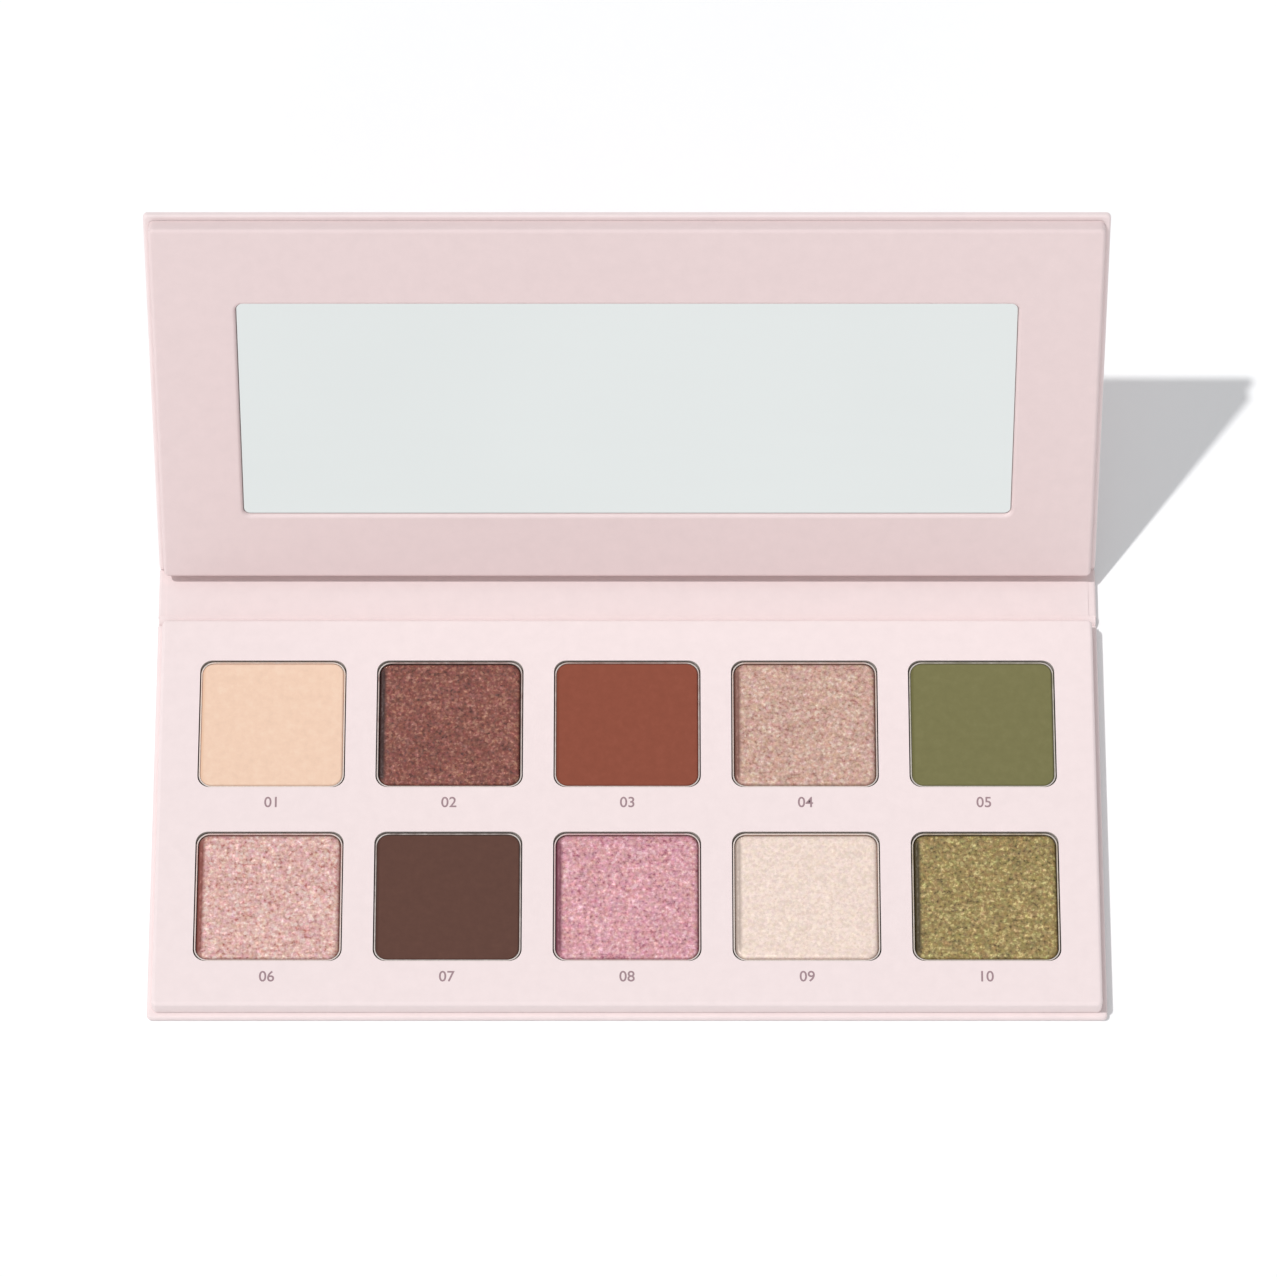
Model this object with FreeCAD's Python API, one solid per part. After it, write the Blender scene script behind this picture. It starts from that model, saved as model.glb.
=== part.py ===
"""Book-style eyeshadow palette: a paper-covered board case whose lid, spine and base fold on two creases.

The base carries a windowed tray with ten pressed powders in metal pans. The lid carries a framed mirror.
Units are millimetres. +X runs along the width, +Y towards the hinge, +Z up.
The origin is the centre of the base panel's underside. The model is built open, as it stands on a table.
"""

import FreeCAD
import Part
import math
import os

Vector = FreeCAD.Vector

# Sheet stock
PAPER = 0.15                 # printed paper that covers and lines the case
BOARD = 1.05                 # grey board of the lid, spine and base
BOARD_EDGE_RADIUS = 0.3      # pressed edge of the case boards
BOARD_CORNER_RADIUS = 0.6    # free corners of the case boards, seen from above

# Windows and the tray round them
COLUMNS = 5
ROWS = 2
WINDOW_WIDTH = 24.6          # window over each pan
WINDOW_DEPTH = 23.1
WINDOW_CORNER_RADIUS = 2.1
COLUMN_PITCH = 29.7
ROW_PITCH = 31.1
SIDE_MARGIN = 6.6            # window to the tray's left and right edges
HINGE_MARGIN = 7.6           # window to the tray's edge at the hinge
FRONT_MARGIN = 7.8           # window to the tray's front edge
BLOCK_EDGE_RADIUS = 0.45     # rounded upper edge of the tray board and the mirror frame board
BLOCK_CORNER_RADIUS = 0.7    # their corners, seen from above

# Pans and pressed powders
PAN_CLEARANCE = 0.2          # pan to window, on average on each side
PAN_SETTLE = 0.1             # pan off the middle of its window, towards the front
PAN_CORNER_RADIUS = 2.2
PAN_WALL = 0.2
PAN_HEIGHT = 3.0
PAN_BEND_RADIUS = 0.2        # drawn bend between a pan's floor and its wall, on the inside
RIM_RECESS = 0.2             # pan rim below the tray's face
POWDER_CLEARANCE = 0.03      # cake to pan wall, on each side
POWDER_RISE = 0.12           # cake above the pan rim
POWDER_EDGE_RADIUS = 0.6     # soft upper edge of the pressed cake
GLUE_THICKNESS = 0.15
GLUE_DIAMETER = 12.0

# Mirror and its frame
MIRROR_SIDE_BORDER = 13.8    # width of the frame at the left and right of the mirror opening
MIRROR_FRONT_BORDER = 14.6   # along the lid's front edge
MIRROR_HINGE_BORDER = 12.7   # and along the hinge
MIRROR_OPENING_CORNER_RADIUS = 1.2
MIRROR_THICKNESS = 1.8
MIRROR_CLEARANCE = 0.05      # mirror to the opening's papered wall, on each side
MIRROR_RECESS = 0.65         # mirror below the frame's face
MIRROR_SEAM = 0.1            # ground bevel on the mirror's front edge
TAPE_THICKNESS = 0.4
TAPE_INSET = 3.0             # tape edge to mirror edge

# Case
COVER_LIP = 0.95             # case beyond the tray and the frame, on three sides
TURN_IN = 12.0               # cover paper folded over onto the inside of a board
LINING_INSET = 1.3           # lining's edge in from the case's edge
TRAY_SETBACK = 0.1           # tray and frame from their board's hinge edge
FOLD_CLEARANCE = 0.2         # between the lined board edges when a crease is folded square
CREASE_CLEARANCE = 0.1       # between the linings in the bottom of a folded crease
CREASE_SLIT = 0.04           # line where the cover paper bends
CLOSING_GAP = 0.25           # tray face to frame face when the lid is shut
LID_OPEN_ANGLE = 120.0       # from shut, as the palette stands open

# Magnets that hold the lid shut
MAGNET_DIAMETER = 6.0
MAGNET_THICKNESS = 1.2
MAGNET_CLEARANCE = 0.05
MAGNET_SPACING = 110.0
MAGNET_FROM_FRONT = 3.9      # magnet centre to the front edge of the tray and the frame

SAME = 1e-6                  # lengths closer than this are equal

# Sizes that follow from the ones above
TRAY_WIDTH = (COLUMNS - 1) * COLUMN_PITCH + WINDOW_WIDTH + 2 * SIDE_MARGIN
TRAY_DEPTH = (ROWS - 1) * ROW_PITCH + WINDOW_DEPTH + HINGE_MARGIN + FRONT_MARGIN
TRAY_HEIGHT = GLUE_THICKNESS + PAN_HEIGHT + RIM_RECESS
FRAME_HEIGHT = TAPE_THICKNESS + MIRROR_THICKNESS + MIRROR_RECESS
PAN_WIDTH = WINDOW_WIDTH - 2 * PAN_CLEARANCE
PAN_DEPTH = WINDOW_DEPTH - 2 * PAN_CLEARANCE
CASE_WIDTH = TRAY_WIDTH + 2 * COVER_LIP
CREASE_WIDTH = CASE_WIDTH - 2 * PAPER            # paper in the creases, a little inside its folded ends
LINING_WIDTH = CASE_WIDTH - 2 * LINING_INSET
BOARD_TOP = PAPER + BOARD                        # board face above the case's outer face
TURN_IN_TOP = BOARD_TOP + PAPER
STACK = TURN_IN_TOP + PAPER                      # lined panel's full thickness
FOLDED_STACK = STACK - PAPER                     # lined panel inside the crease line
LINING_BEND = PAPER / 2                          # where the lining folds down a board's edge
BOARD_SETBACK = FOLDED_STACK + PAPER + FOLD_CLEARANCE
BLOCK_START = BOARD_SETBACK + TRAY_SETBACK       # crease to the tray's or the frame's hinge edge
PANEL_LENGTH = BLOCK_START + TRAY_DEPTH + COVER_LIP
OPENING_START = BLOCK_START + MIRROR_HINGE_BORDER  # mirror opening, measured from the lid's crease
OPENING_END = BLOCK_START + TRAY_DEPTH - MIRROR_FRONT_BORDER
SPINE_LENGTH = 2 * FOLDED_STACK + TRAY_HEIGHT + CLOSING_GAP + FRAME_HEIGHT
SPINE_BOARD_SETBACK = 2 * PAPER + CREASE_CLEARANCE
BASE_CREASE_Y = PANEL_LENGTH / 2
LID_CREASE_Y = BASE_CREASE_Y + SPINE_LENGTH


def block(width, y_start, y_end, z_start, z_end):
    """A square-edged block, centred on X."""
    return Part.makeBox(width, y_end - y_start, z_end - z_start, Vector(-width / 2, y_start, z_start))


def rounded_outline(width, y_start, y_end, far_radius, near_radius, z):
    """A rectangle centred on X with rounded far corners, and rounded near corners if near_radius isn't 0."""
    corners = [
        (-width / 2, y_start, near_radius, 180),
        (width / 2, y_start, near_radius, 270),
        (width / 2, y_end, far_radius, 0),
        (-width / 2, y_end, far_radius, 90),
    ]
    ends = []
    edges = []
    for x, y, radius, start_angle in corners:
        if radius == 0:
            ends.append((Vector(x, y, z), Vector(x, y, z)))
            continue
        centre = Vector(x - math.copysign(radius, x), y + (radius if y == y_start else -radius), z)
        arc = Part.makeCircle(radius, centre, Vector(0, 0, 1), start_angle, start_angle + 90)
        edges.append(arc)
        ends.append((arc.firstVertex().Point, arc.lastVertex().Point))
    for index, (_, leaving) in enumerate(ends):
        arriving = ends[(index + 1) % len(ends)][0]
        edges.append(Part.makeLine(leaving, arriving))
    return Part.Face(Part.Wire(Part.__sortEdges__(edges)))


def rounded_block(width, y_start, y_end, z_start, z_end, far_radius, near_radius):
    outline = rounded_outline(width, y_start, y_end, far_radius, near_radius, z_start)
    return outline.extrude(Vector(0, 0, z_end - z_start))


def filled_cell(width, depth, radius, z_start, z_end):
    """A block with four rounded corners, centred on X and Y."""
    return rounded_block(width, -depth / 2, depth / 2, z_start, z_end, radius, radius)


def on_level(edge, z):
    return abs(edge.BoundBox.ZMin - z) < SAME and abs(edge.BoundBox.ZMax - z) < SAME


def along_x(edge, y):
    return abs(edge.BoundBox.YMin - y) < SAME and abs(edge.BoundBox.YMax - y) < SAME


def edges_at(shape, z):
    """The edges that lie flat at height z."""
    return [edge for edge in shape.Edges if on_level(edge, z)]


def free_edges(panel, hinge_y):
    """The upper and lower edges of a flat panel on every side but the one at hinge_y."""
    levels = (panel.BoundBox.ZMin, panel.BoundBox.ZMax)
    flat = [edge for edge in panel.Edges if any(on_level(edge, z) for z in levels)]
    return [edge for edge in flat if not along_x(edge, hinge_y)]


def end_edges(strip):
    """The upper and lower edges at the left and right ends of a strip."""
    return [e for e in strip.Edges if e.BoundBox.XLength < SAME and e.BoundBox.ZLength < SAME]


def window_centres():
    """(column x, distance from the crease) of each window, by rows from the hinge."""
    first_row = BLOCK_START + HINGE_MARGIN + WINDOW_DEPTH / 2
    for row in range(ROWS):
        for column in range(COLUMNS):
            yield (column - (COLUMNS - 1) / 2) * COLUMN_PITCH, first_row + row * ROW_PITCH


# Case panels. The lid and the base are one panel, built with its crease on Y = 0 and its outer face on Z = 0.


def panel_board():
    """Grey board with pressed edges on its three free sides."""
    board = rounded_block(
        CASE_WIDTH - 2 * PAPER, BOARD_SETBACK, PANEL_LENGTH - PAPER, PAPER, BOARD_TOP, BOARD_CORNER_RADIUS, 0
    )
    return board.makeFillet(BOARD_EDGE_RADIUS, free_edges(board, BOARD_SETBACK))


def panel_cover_paper(board):
    """Paper round the outside of a board, folded over its free edges and left flat as far as the crease.

    Beside the lining, the turned-in edge also goes down the board's hinge edge and along to the crease.
    """
    start = BOARD_SETBACK - PAPER
    outer = rounded_block(CASE_WIDTH, start, PANEL_LENGTH, 0, TURN_IN_TOP, BOARD_CORNER_RADIUS + PAPER, 0)
    outer = outer.makeFillet(BOARD_EDGE_RADIUS + PAPER, free_edges(outer, start))
    inside = block(
        CASE_WIDTH - 2 * TURN_IN, BOARD_SETBACK, PANEL_LENGTH - TURN_IN, BOARD_TOP, TURN_IN_TOP
    )
    flap = block(CREASE_WIDTH, CREASE_SLIT / 2, BOARD_SETBACK, 0, 2 * PAPER)
    lined = block(LINING_WIDTH, 0, BOARD_SETBACK, PAPER, TURN_IN_TOP)
    return outer.fuse(flap).cut([board, inside, lined]).removeSplitter()


def panel_lining(cover_paper):
    """Lining over the turned-in paper, folded down the board's hinge edge and along to the crease."""
    sheet = block(LINING_WIDTH, BOARD_SETBACK, PANEL_LENGTH - LINING_INSET, BOARD_TOP, STACK).cut(cover_paper)
    edge = block(LINING_WIDTH, BOARD_SETBACK - PAPER, BOARD_SETBACK, PAPER, STACK)
    strip = block(LINING_WIDTH, CREASE_SLIT / 2, BOARD_SETBACK - PAPER, PAPER, 2 * PAPER)
    lining = sheet.fuse([edge, strip]).removeSplitter()
    bend = [e for e in edges_at(lining, STACK) if along_x(e, BOARD_SETBACK - PAPER)]
    return lining.makeFillet(LINING_BEND, bend)


def spine_board():
    board = block(
        CASE_WIDTH - 2 * PAPER, SPINE_BOARD_SETBACK, SPINE_LENGTH - SPINE_BOARD_SETBACK, PAPER, BOARD_TOP
    )
    return board.makeFillet(BOARD_EDGE_RADIUS, end_edges(board))


def spine_cover_paper(board):
    """Paper from crease to crease, folded over the spine board's two ends.

    Beside the lining, the turned-in edge also goes down the board's two long edges.
    """
    start = SPINE_BOARD_SETBACK - PAPER
    outer = block(CASE_WIDTH, start, SPINE_LENGTH - start, 0, TURN_IN_TOP)
    outer = outer.makeFillet(BOARD_EDGE_RADIUS + PAPER, end_edges(outer))
    inside = block(CASE_WIDTH - 2 * TURN_IN, 0, SPINE_LENGTH, BOARD_TOP, TURN_IN_TOP)
    flat = block(CREASE_WIDTH, CREASE_SLIT / 2, SPINE_LENGTH - CREASE_SLIT / 2, 0, PAPER)
    lined = [
        block(LINING_WIDTH, 0, SPINE_BOARD_SETBACK, PAPER, TURN_IN_TOP),
        block(LINING_WIDTH, SPINE_LENGTH - SPINE_BOARD_SETBACK, SPINE_LENGTH, PAPER, TURN_IN_TOP),
    ]
    return outer.fuse(flat).cut([board, inside] + lined).removeSplitter()


def spine_lining(cover_paper):
    """The strip seen between the tray and the lid, folded down both edges of the spine board."""
    start = SPINE_BOARD_SETBACK - PAPER
    end = SPINE_LENGTH - start
    sheet = block(LINING_WIDTH, start, end, BOARD_TOP, STACK).cut(cover_paper)
    near_edge = block(LINING_WIDTH, start, SPINE_BOARD_SETBACK, PAPER, STACK)
    far_edge = block(LINING_WIDTH, SPINE_LENGTH - SPINE_BOARD_SETBACK, end, PAPER, STACK)
    lining = sheet.fuse([near_edge, far_edge]).removeSplitter()
    bends = [e for e in edges_at(lining, STACK) if along_x(e, start) or along_x(e, end)]
    return lining.makeFillet(LINING_BEND, bends)


# Tray and mirror frame. Both are wrapped blocks of one plan size that meet face to face when the lid is shut.


def wrapped_core(height):
    """The solid block under the wrapping paper of a tray or frame of that height."""
    core = rounded_block(
        TRAY_WIDTH - 2 * PAPER, BLOCK_START + PAPER, BLOCK_START + TRAY_DEPTH - PAPER,
        STACK, STACK + height - PAPER, BLOCK_CORNER_RADIUS, BLOCK_CORNER_RADIUS,
    )
    return core.makeFillet(BLOCK_EDGE_RADIUS, edges_at(core, STACK + height - PAPER))


def wrapping(height):
    """The same block with the paper's thickness added on its face and sides."""
    radius = BLOCK_CORNER_RADIUS + PAPER
    outer = rounded_block(
        TRAY_WIDTH, BLOCK_START, BLOCK_START + TRAY_DEPTH, STACK, STACK + height, radius, radius
    )
    return outer.makeFillet(BLOCK_EDGE_RADIUS + PAPER, edges_at(outer, STACK + height))


def magnet_discs(diameter, thickness):
    """A pair of discs at the front of a tray or frame, standing on the panel's lining."""
    y = BLOCK_START + TRAY_DEPTH - MAGNET_FROM_FRONT
    centres = [Vector(side * MAGNET_SPACING / 2, y, STACK) for side in (-1, 1)]
    return [Part.makeCylinder(diameter / 2, thickness, centre) for centre in centres]


def magnet_pockets():
    return magnet_discs(MAGNET_DIAMETER + 2 * MAGNET_CLEARANCE, MAGNET_THICKNESS + MAGNET_CLEARANCE)


def window_cutters():
    plain = filled_cell(WINDOW_WIDTH, WINDOW_DEPTH, WINDOW_CORNER_RADIUS, 0, STACK + TRAY_HEIGHT + PAPER)
    return [plain.translated(Vector(x, y, 0)) for x, y in window_centres()]


def tray_board():
    return wrapped_core(TRAY_HEIGHT).cut(window_cutters() + magnet_pockets())


def tray_cover_paper():
    return wrapping(TRAY_HEIGHT).cut([wrapped_core(TRAY_HEIGHT)] + window_cutters())


def mirror_opening(inset, z_start, z_end):
    """A block that fills the frame's opening, smaller by inset on each side."""
    radius = MIRROR_OPENING_CORNER_RADIUS - inset
    return rounded_block(
        TRAY_WIDTH - 2 * (MIRROR_SIDE_BORDER + inset), OPENING_START + inset, OPENING_END - inset,
        z_start, z_end, radius, radius,
    )


def round_the_opening(edge):
    """Whether an edge lies at the mirror opening, give or take the paper on its walls."""
    box = edge.BoundBox
    across = max(abs(box.XMin), abs(box.XMax)) < TRAY_WIDTH / 2 - MIRROR_SIDE_BORDER + 2 * PAPER
    return across and box.YMin > OPENING_START - 2 * PAPER and box.YMax < OPENING_END + 2 * PAPER


def mirror_frame_board():
    opening = mirror_opening(-PAPER, 0, STACK + FRAME_HEIGHT)
    frame = wrapped_core(FRAME_HEIGHT).cut([opening] + magnet_pockets())
    inner_edges = [e for e in edges_at(frame, STACK + FRAME_HEIGHT - PAPER) if round_the_opening(e)]
    return frame.makeFillet(BLOCK_EDGE_RADIUS, inner_edges)


def mirror_frame_paper(frame_board):
    """Paper over the frame's face and sides, turned down the walls of the mirror opening."""
    paper = wrapping(FRAME_HEIGHT).cut([frame_board, mirror_opening(0, 0, STACK + FRAME_HEIGHT + PAPER)])
    opening_edges = [e for e in edges_at(paper, STACK + FRAME_HEIGHT) if round_the_opening(e)]
    paper = paper.makeFillet(BLOCK_EDGE_RADIUS + PAPER, opening_edges)
    return paper.cut(magnet_pockets())


def mirror():
    bottom = STACK + TAPE_THICKNESS
    glass = mirror_opening(MIRROR_CLEARANCE, bottom, bottom + MIRROR_THICKNESS)
    return glass.makeChamfer(MIRROR_SEAM, edges_at(glass, bottom + MIRROR_THICKNESS))


def mirror_tape():
    inset = MIRROR_CLEARANCE + TAPE_INSET
    return block(
        TRAY_WIDTH - 2 * (MIRROR_SIDE_BORDER + inset), OPENING_START + inset, OPENING_END - inset,
        STACK, STACK + TAPE_THICKNESS,
    )


# Pans and powders, built on the centre of their window and standing on the base's lining.


def pan():
    """Drawn metal cup with a rounded floor edge."""
    bottom = STACK + GLUE_THICKNESS
    rim = bottom + PAN_HEIGHT
    cup = filled_cell(PAN_WIDTH, PAN_DEPTH, PAN_CORNER_RADIUS, bottom, rim)
    cup = cup.makeFillet(PAN_BEND_RADIUS + PAN_WALL, edges_at(cup, bottom))
    hollow = filled_cell(
        PAN_WIDTH - 2 * PAN_WALL, PAN_DEPTH - 2 * PAN_WALL, PAN_CORNER_RADIUS - PAN_WALL,
        bottom + PAN_WALL, rim + PAN_WALL,
    )
    hollow = hollow.makeFillet(PAN_BEND_RADIUS, edges_at(hollow, bottom + PAN_WALL))
    return cup.cut(hollow)


def powder():
    """Pressed cake that fills a pan, with a soft upper edge."""
    bottom = STACK + GLUE_THICKNESS + PAN_WALL
    top = STACK + GLUE_THICKNESS + PAN_HEIGHT + POWDER_RISE
    inset = PAN_WALL + POWDER_CLEARANCE
    cake = filled_cell(PAN_WIDTH - 2 * inset, PAN_DEPTH - 2 * inset, PAN_CORNER_RADIUS - inset, bottom, top)
    cake = cake.makeFillet(POWDER_EDGE_RADIUS, edges_at(cake, top))
    return cake.makeFillet(PAN_BEND_RADIUS, edges_at(cake, bottom))


def glue_dot():
    return Part.makeCylinder(GLUE_DIAMETER / 2, GLUE_THICKNESS, Vector(0, 0, STACK))


# Placing: each panel goes from its own crease to where it stands when the palette is open.


def on_base(shape):
    turned = shape.copy()
    turned.rotate(Vector(0, 0, 0), Vector(0, 0, 1), 180)
    turned.translate(Vector(0, BASE_CREASE_Y, 0))
    return turned


def on_spine(shape):
    return shape.translated(Vector(0, BASE_CREASE_Y, 0))


def on_lid(shape):
    moved = shape.translated(Vector(0, LID_CREASE_Y, 0))
    moved.rotate(Vector(0, LID_CREASE_Y, PAPER), Vector(1, 0, 0), 180 - LID_OPEN_ANGLE)
    return moved


def case_nodes():
    board = panel_board()
    cover_paper = panel_cover_paper(board)
    lining = panel_lining(cover_paper)
    stiffener = spine_board()
    spine_paper = spine_cover_paper(stiffener)
    return {
        "base_board": on_base(board),
        "base_cover_paper": on_base(cover_paper),
        "base_lining": on_base(lining),
        "spine_board": on_spine(stiffener),
        "spine_cover_paper": on_spine(spine_paper),
        "spine_lining": on_spine(spine_lining(spine_paper)),
        "lid_board": on_lid(board),
        "lid_cover_paper": on_lid(cover_paper),
        "lid_lining": on_lid(lining),
    }


def tray_nodes():
    nodes = {
        "tray_board": on_base(tray_board()),
        "tray_cover_paper": on_base(tray_cover_paper()),
        "tray_magnets": on_base(Part.makeCompound(magnet_discs(MAGNET_DIAMETER, MAGNET_THICKNESS))),
    }
    one_pan, one_powder, one_dot = pan(), powder(), glue_dot()
    dots = []
    for number, (x, y) in enumerate(window_centres(), 1):
        # The base panel is turned round, so columns count from its other side.
        place = Vector(-x, y + PAN_SETTLE, 0)
        nodes[f"pan_{number:02d}"] = on_base(one_pan.translated(place))
        nodes[f"powder_{number:02d}"] = on_base(one_powder.translated(place))
        dots.append(one_dot.translated(place))
    nodes["pan_glue_dots"] = on_base(Part.makeCompound(dots))
    return nodes


def lid_nodes():
    frame_board = mirror_frame_board()
    return {
        "mirror_frame_board": on_lid(frame_board),
        "mirror_frame_paper": on_lid(mirror_frame_paper(frame_board)),
        "mirror": on_lid(mirror()),
        "mirror_tape": on_lid(mirror_tape()),
        "lid_magnets": on_lid(Part.makeCompound(magnet_discs(MAGNET_DIAMETER, MAGNET_THICKNESS))),
    }


def main():
    os.makedirs("parts", exist_ok=True)
    for name, shape in {**case_nodes(), **tray_nodes(), **lid_nodes()}.items():
        shape.exportStep(f"parts/{name}.step")
    print(f"case {CASE_WIDTH:.2f} x {PANEL_LENGTH:.2f}, {2 * PAPER + SPINE_LENGTH:.2f} thick when shut")
    print(f"base crease at y {BASE_CREASE_Y:.3f}, lid crease at y {LID_CREASE_Y:.3f}, both at z {PAPER:.3f}")


main()
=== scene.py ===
"""Dresses a folding board eyeshadow palette: paper, board, pans, pressed powders, numbers and mirror."""

import math
from collections import namedtuple

import bmesh
import bpy
from bpy.props import CollectionProperty, FloatProperty, FloatVectorProperty, PointerProperty
from mathutils import Matrix, Vector, noise


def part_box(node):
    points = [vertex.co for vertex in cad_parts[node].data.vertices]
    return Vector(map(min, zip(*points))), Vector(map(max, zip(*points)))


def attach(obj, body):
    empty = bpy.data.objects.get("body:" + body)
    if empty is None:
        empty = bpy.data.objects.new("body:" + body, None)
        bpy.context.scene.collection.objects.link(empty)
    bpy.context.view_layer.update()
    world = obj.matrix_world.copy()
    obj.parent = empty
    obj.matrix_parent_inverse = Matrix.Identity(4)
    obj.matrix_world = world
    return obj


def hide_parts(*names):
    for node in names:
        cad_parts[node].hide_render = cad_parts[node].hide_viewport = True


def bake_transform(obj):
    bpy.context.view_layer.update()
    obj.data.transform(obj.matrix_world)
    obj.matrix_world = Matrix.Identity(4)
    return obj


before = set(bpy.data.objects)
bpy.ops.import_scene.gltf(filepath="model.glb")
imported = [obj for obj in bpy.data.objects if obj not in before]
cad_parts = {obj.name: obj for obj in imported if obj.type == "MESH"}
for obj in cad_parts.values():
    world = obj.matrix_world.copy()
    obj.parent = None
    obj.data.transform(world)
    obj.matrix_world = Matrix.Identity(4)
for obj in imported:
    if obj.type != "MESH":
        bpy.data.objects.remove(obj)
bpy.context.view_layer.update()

bl_info = {
    "name": "Eyeshadow Palette",
    "version": (1, 0, 0),
    "blender": (4, 5, 0),
    "location": "View3D > Sidebar > Palette",
    "description": "Dresses a folding board eyeshadow palette and sets it on a white studio floor",
    "category": "Object",
}

MM = 0.001
SMALL = 1e-9                 # keeps a length that something is divided by off zero
NUMBERS = range(1, 11)
LID_BEND = math.radians(60)  # the lid stands 120 degrees open at rest, so its crease is bent by the other 60
CREASE_ENDS = 0.3 * MM       # how much shorter than the spine the paper in a crease is
LINING_BOW = 0.6 * MM        # four times how far the lining bows out behind a line across the lid's crease
LINING_SAG = 0.75            # how far it sags at the base's crease, as a share of the board's height
LINING_STEPS = 12            # straight runs in the curve of the lining
FOLD_STEPS = 10              # and in the bend of the cover paper
INK_FILM = 0.012 * MM        # thickness of the printed numbers
RELIEF_MARGIN = 1.6          # the press's relief fades within this many edge radii of a cake's outline
EDGE_RIGHT = 0.45            # painted shade at a cake's right, against its left
EDGE_BACK = 0.25             # and at its back
EDGE_REACH = 0.6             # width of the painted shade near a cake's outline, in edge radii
EDGE_REACH_LEFT = 1.3        # and how much wider it is at the left
EDGE_STEEPNESS = 2.6         # how fast it darkens towards the outline
SEED_STEP = 3.7              # how far apart in the noise the reliefs of two neighbouring powders lie
FLOOR_REACH = 6.0            # metres from the middle of the floor to its sides

# The Mix node's colour sockets have the same names as its number sockets, so position finds them.
MIX_FACTOR, MIX_A, MIX_B, MIX_RESULT = 0, 6, 7, 2


def linear(hex_colour):
    """An sRGB hex colour as linear red, green and blue."""
    channels = [int(hex_colour[place:place + 2], 16) / 255 for place in (1, 3, 5)]
    return tuple(c / 12.92 if c <= 0.04045 else ((c + 0.055) / 1.055) ** 2.4 for c in channels)


def per(size):
    """The texture scale at which one feature of a pattern is about this many millimetres across."""
    return 1 / (size * MM)


def shaded(colour, amount):
    """A linear colour made lighter or darker, with the alpha that node sockets want."""
    return (*(min(channel * amount, 1.0) for channel in colour[:3]), 1.0)


# Sizes and colours that a user would change

# Each pressed powder from back left to front right: its shimmer, body colour, deep colour and flakes.
SHADES = (
    (0, "#EBC9B1", "#E2BDA2", "#EFD3BC"),
    (1.0, "#7E4439", "#431E17", "#B27D69"),
    (0, "#8A4B3A", "#7D4131", "#90503F"),
    (0.8, "#C39C8D", "#996759", "#E2CBBA"),
    (0, "#76724B", "#6A6640", "#7C7851"),
    (0.9, "#D1A59D", "#A2584D", "#EDD6CC"),
    (0, "#5F4138", "#543830", "#64453B"),
    (0.95, "#CD949A", "#975162", "#F0C6CA"),
    (0.5, "#E8D2C5", "#DFC9BB", "#EBD8CB"),
    (0.9, "#947E4B", "#52431D", "#D6C486"),
)


class PaletteShade(bpy.types.PropertyGroup):
    """Look of one pressed powder"""
    shimmer: FloatProperty(
        name="Shimmer", description="Strength of the mica flakes, 0 in a matte powder", subtype="FACTOR",
        default=0, min=0, max=1)
    body: FloatVectorProperty(
        name="Body", description="Main colour of the cake", subtype="COLOR", size=3, min=0, max=1,
        default=linear("#CFA99A"))
    # The deep colour also paints the shade near each cake's outline.
    deep: FloatVectorProperty(
        name="Deep", description="Colour of the packed edge and between the flakes", subtype="COLOR", size=3,
        min=0, max=1, default=linear("#97655A"))
    flake: FloatVectorProperty(
        name="Flake", description="Colour of the brightest grains", subtype="COLOR", size=3, min=0, max=1,
        default=linear("#F3DCCB"))


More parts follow.
